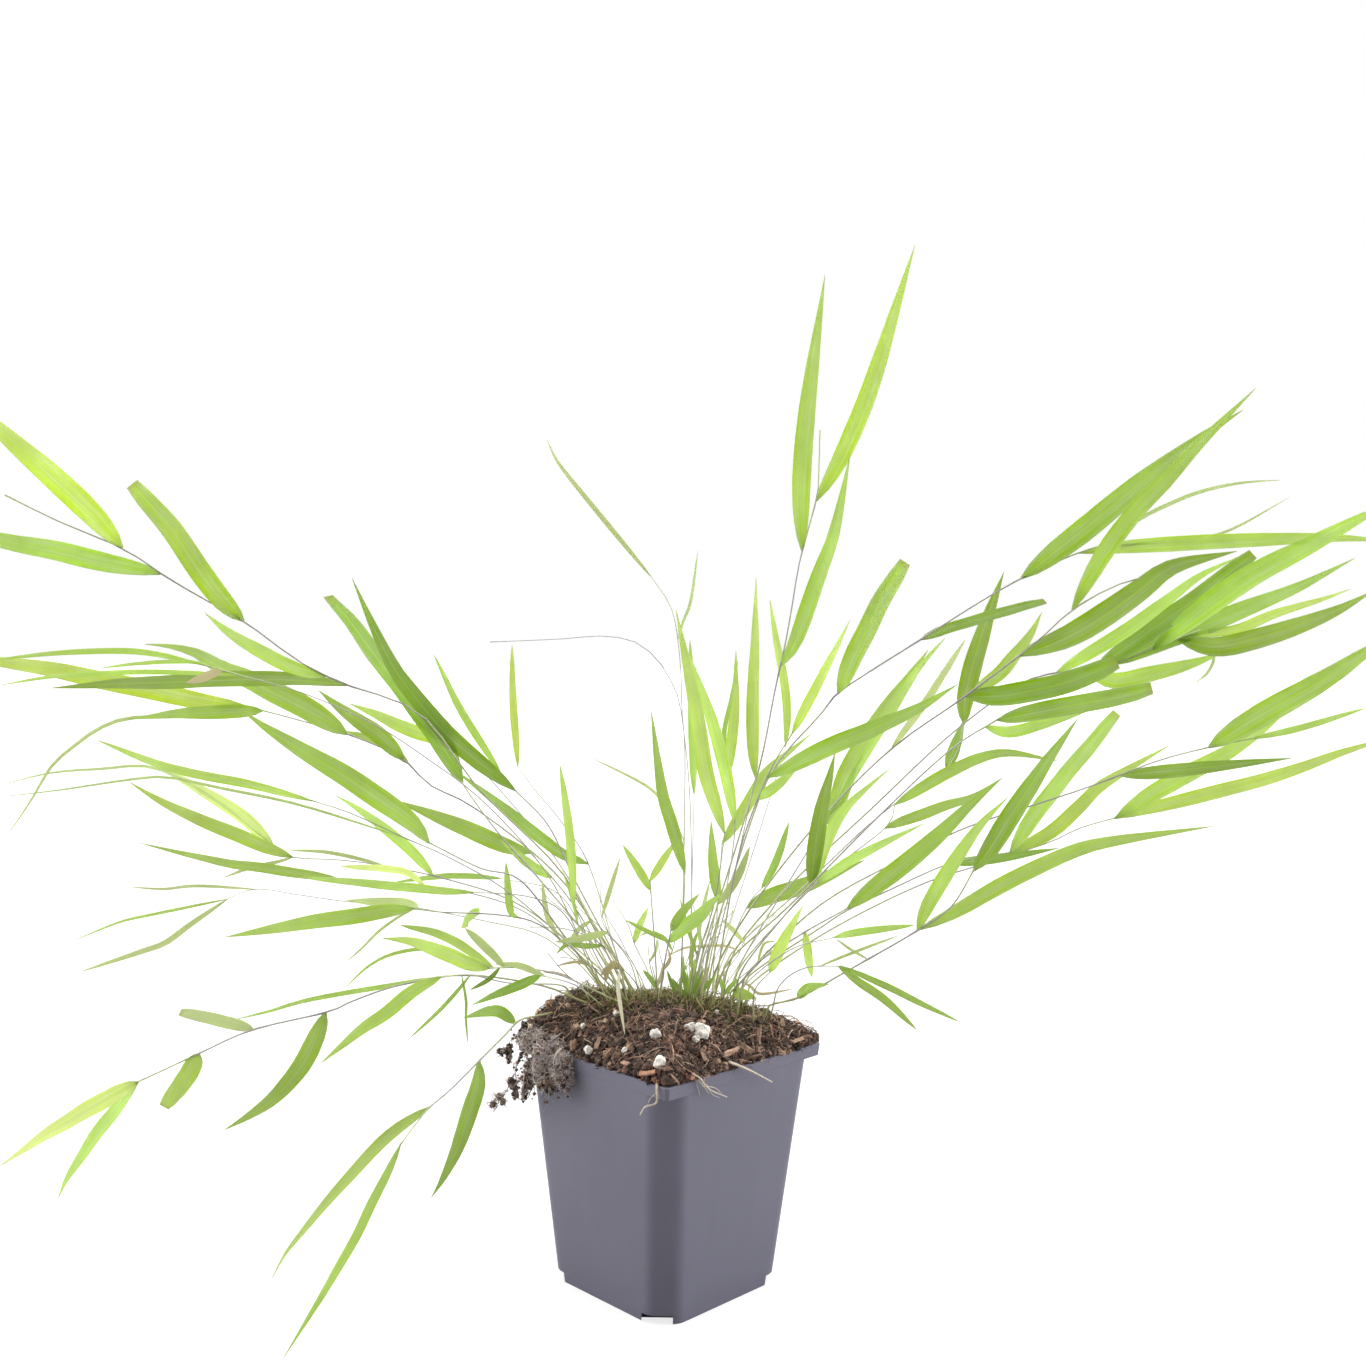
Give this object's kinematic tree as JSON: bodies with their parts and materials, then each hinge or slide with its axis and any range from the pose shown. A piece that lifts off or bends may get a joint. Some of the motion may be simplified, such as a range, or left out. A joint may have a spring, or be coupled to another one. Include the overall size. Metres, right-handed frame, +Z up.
{
  "type": "potted japanese forest grass",
  "caption": "Arching tuft of bright green Japanese forest grass in a square tapered plastic nursery pot, with mounded bark soil and a few roots over the rim.",
  "frame": {"origin": "centre of the pot's flat underside", "axes": "+Z up the pot, with one pot corner facing -Y and another facing +X"},
  "size_m": [0.6872, 0.2392, 0.4381],
  "materials": {
    "pot_grey": "moulded slate-grey polypropylene, faintly satin",
    "soil_brown": "damp peat and bark mix with perlite",
    "clump_brown": "soil crumbs held in a mat of fine roots",
    "root_cream": "pale bare root",
    "leaf_green": "thin translucent grass blade with fine parallel veins"
  },
  "bodies": {
    "root": {"pot": "pot_grey", "soil": "soil_brown", "root_clump": "clump_brown", "rim_root_1": "root_cream", "rim_root_2": "root_cream", "rim_root_3": "root_cream", "shoot_left_01": "leaf_green", "shoot_left_02": "leaf_green", "shoot_left_03": "leaf_green", "shoot_left_04": "leaf_green", "shoot_left_05": "leaf_green", "shoot_left_06": "leaf_green", "shoot_left_07": "leaf_green", "shoot_left_08": "leaf_green", "shoot_left_09": "leaf_green", "shoot_left_10": "leaf_green", "shoot_left_11": "leaf_green", "shoot_left_12": "leaf_green", "shoot_left_13": "leaf_green", "shoot_left_14": "leaf_green", "shoot_left_15": "leaf_green", "shoot_left_16": "leaf_green", "shoot_left_17": "leaf_green", "shoot_left_18": "leaf_green", "shoot_left_19": "leaf_green", "shoot_left_20": "leaf_green", "shoot_left_21": "leaf_green", "shoot_left_22": "leaf_green", "shoot_mid_01": "leaf_green", "shoot_mid_02": "leaf_green", "shoot_mid_03": "leaf_green", "shoot_mid_04": "leaf_green", "shoot_mid_05": "leaf_green", "shoot_mid_06": "leaf_green", "shoot_mid_07": "leaf_green", "shoot_mid_08": "leaf_green", "shoot_mid_09": "leaf_green", "shoot_mid_10": "leaf_green", "shoot_mid_11": "leaf_green", "shoot_mid_12": "leaf_green", "shoot_tall": "leaf_green", "shoot_right_01": "leaf_green", "shoot_right_02": "leaf_green", "shoot_right_03": "leaf_green", "shoot_right_04": "leaf_green", "shoot_right_05": "leaf_green", "shoot_right_06": "leaf_green", "shoot_right_07": "leaf_green", "shoot_right_08": "leaf_green", "shoot_right_09": "leaf_green", "shoot_right_10": "leaf_green", "shoot_right_11": "leaf_green", "shoot_right_12": "leaf_green", "shoot_right_13": "leaf_green", "shoot_right_14": "leaf_green", "shoot_right_15": "leaf_green", "shoot_right_16": "leaf_green", "shoot_right_17": "leaf_green", "shoot_right_18": "leaf_green", "shoot_right_19": "leaf_green"}
  },
  "joints": []
}
